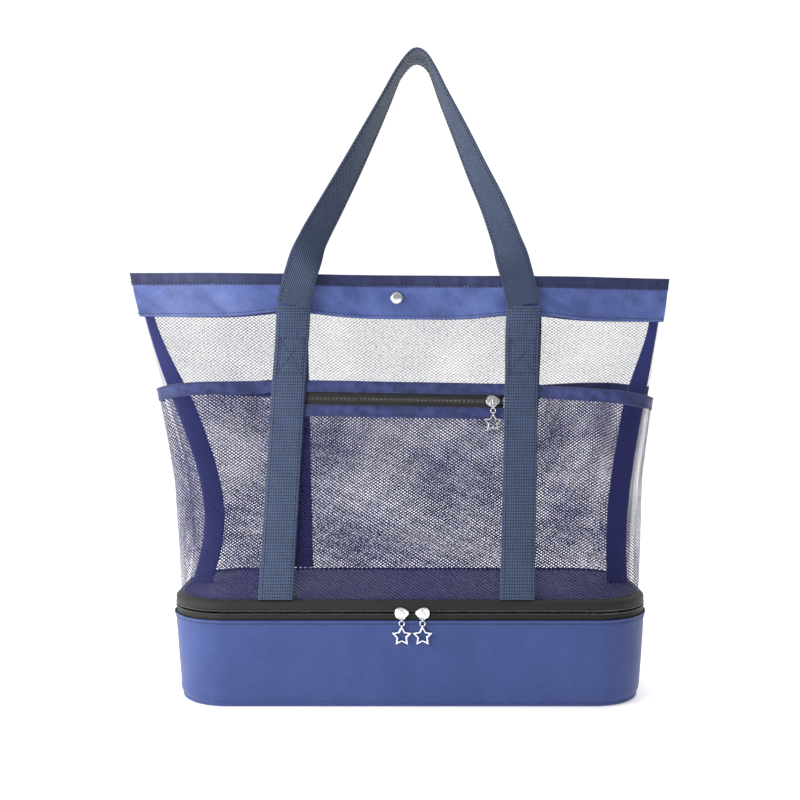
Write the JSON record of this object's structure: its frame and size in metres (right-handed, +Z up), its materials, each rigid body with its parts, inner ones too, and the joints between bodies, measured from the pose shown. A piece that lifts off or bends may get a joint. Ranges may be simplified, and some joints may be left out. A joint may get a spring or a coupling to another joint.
{
  "type": "beach bag",
  "caption": "Open net beach tote with band, slip pockets, zipped pocket and webbing handles, zipped on to a low insulated cooler base",
  "frame": {"origin": "middle of the base, on the ground", "axes": "+Z up; -Y is the front, with the zipped pocket; X runs along the bag's width"},
  "size_m": [0.53, 0.1685, 0.618],
  "materials": {
    "blue_fabric": "laminated woven polyester",
    "navy_fabric": "woven polyester",
    "binding": "folded binding tape",
    "net": "open knitted net",
    "webbing": "twill webbing",
    "zip": "woven tape and moulded coil",
    "foam": "closed-cell foam",
    "foil": "metallised film",
    "hardware": "polished"
  },
  "bodies": {
    "cooler": {"bottom_panel": "blue_fabric", "bottom_piping": "binding", "cooler_wall": "blue_fabric", "floor_foam": "foam", "wall_foam": "foam", "foil_lining": "foil", "lower_zip_tape": "zip", "lower_zip_coil": "zip", "rear_hinge_strip": "binding"},
    "tote": {"tote_floor": "navy_fabric", "lid_foam": "foam", "lid_foil": "foil", "upper_zip_coil": "zip", "upper_zip_tape": "zip", "front_mesh_panel": "net", "rear_mesh_panel": "net", "left_seam_ribbon": "navy_fabric", "right_seam_ribbon": "navy_fabric", "front_band": "blue_fabric", "rear_band": "blue_fabric", "front_rim_binding": "binding", "rear_rim_binding": "binding", "left_pocket_mesh": "net", "left_pocket_hem": "navy_fabric", "right_pocket_mesh": "net", "right_pocket_hem": "navy_fabric", "centre_pocket_upper_hem": "navy_fabric", "pocket_zip_upper_coil": "zip", "pocket_zip_upper_tape": "zip", "pocket_zip_lower_coil": "zip", "pocket_zip_lower_tape": "zip", "centre_pocket_lower_hem": "navy_fabric", "centre_pocket_mesh": "net", "rear_pocket_mesh": "net", "rear_pocket_hem": "navy_fabric", "front_left_strap": "webbing", "front_right_strap": "webbing", "rear_left_strap": "webbing", "rear_right_strap": "webbing", "snap_cap": "hardware", "snap_back": "hardware", "snap_socket": "hardware", "snap_stud": "hardware"},
    "front_handle": {"front_handle": "webbing"},
    "rear_handle": {"rear_handle": "webbing"},
    "cooler_left_slider": {"cooler_left_slider": "hardware"},
    "cooler_left_ring": {"cooler_left_pull_ring": "hardware"},
    "cooler_left_star": {"cooler_left_star_charm": "hardware"},
    "cooler_right_slider": {"cooler_right_slider": "hardware"},
    "cooler_right_ring": {"cooler_right_pull_ring": "hardware"},
    "cooler_right_star": {"cooler_right_star_charm": "hardware"},
    "pocket_slider": {"pocket_slider": "hardware"},
    "pocket_ring": {"pocket_pull_ring": "hardware"},
    "pocket_star": {"pocket_star_charm": "hardware"}
  },
  "joints": [
    {"name": "tote_tilt", "type": "hinge", "parent": "cooler", "child": "tote", "pos_m": [0, 0.0845, 0.0886], "axis": [-1, 0, 0], "range_deg": [0, 100]},
    {"name": "front_handle_fold", "type": "hinge", "parent": "tote", "child": "front_handle", "pos_m": [0, -0.0233, 0.373], "axis": [1, 0, 0], "range_deg": [0, 135]},
    {"name": "rear_handle_fold", "type": "hinge", "parent": "tote", "child": "rear_handle", "pos_m": [0, 0.0233, 0.373], "axis": [-1, 0, 0], "range_deg": [0, 135]},
    {"name": "cooler_left_slider_run", "type": "slide", "parent": "cooler", "child": "cooler_left_slider", "axis": [-1, 0, 0], "range_m": [0, 0.15]},
    {"name": "cooler_left_ring_flap", "type": "hinge", "parent": "cooler_left_slider", "child": "cooler_left_ring", "pos_m": [-0.008, -0.0843, 0.0896], "axis": [-1, 0, 0], "range_deg": [0, 90]},
    {"name": "cooler_left_star_swing", "type": "hinge", "parent": "cooler_left_ring", "child": "cooler_left_star", "pos_m": [-0.008, -0.0843, 0.0832], "axis": [0, 1, 0], "range_deg": [0, 35]},
    {"name": "cooler_right_slider_run", "type": "slide", "parent": "cooler", "child": "cooler_right_slider", "axis": [1, 0, 0], "range_m": [0, 0.15]},
    {"name": "cooler_right_ring_flap", "type": "hinge", "parent": "cooler_right_slider", "child": "cooler_right_ring", "pos_m": [0.011, -0.0843, 0.0896], "axis": [-1, 0, 0], "range_deg": [0, 90]},
    {"name": "cooler_right_star_swing", "type": "hinge", "parent": "cooler_right_ring", "child": "cooler_right_star", "pos_m": [0.011, -0.0843, 0.0832], "axis": [0, -1, 0], "range_deg": [0, 35]},
    {"name": "pocket_slider_run", "type": "slide", "parent": "tote", "child": "pocket_slider", "axis": [-0.9998, 0.0041, 0.018], "range_m": [0, 0.165]},
    {"name": "pocket_ring_flap", "type": "hinge", "parent": "pocket_slider", "child": "pocket_ring", "pos_m": [0.07894, -0.03812, 0.28233], "axis": [-0.9998, 0.0041, 0.018], "range_deg": [0, 60]},
    {"name": "pocket_star_swing", "type": "hinge", "parent": "pocket_ring", "child": "pocket_star", "pos_m": [0.07882, -0.03955, 0.27609], "axis": [0, 0.9747, -0.2235], "range_deg": [0, 35]}
  ]
}
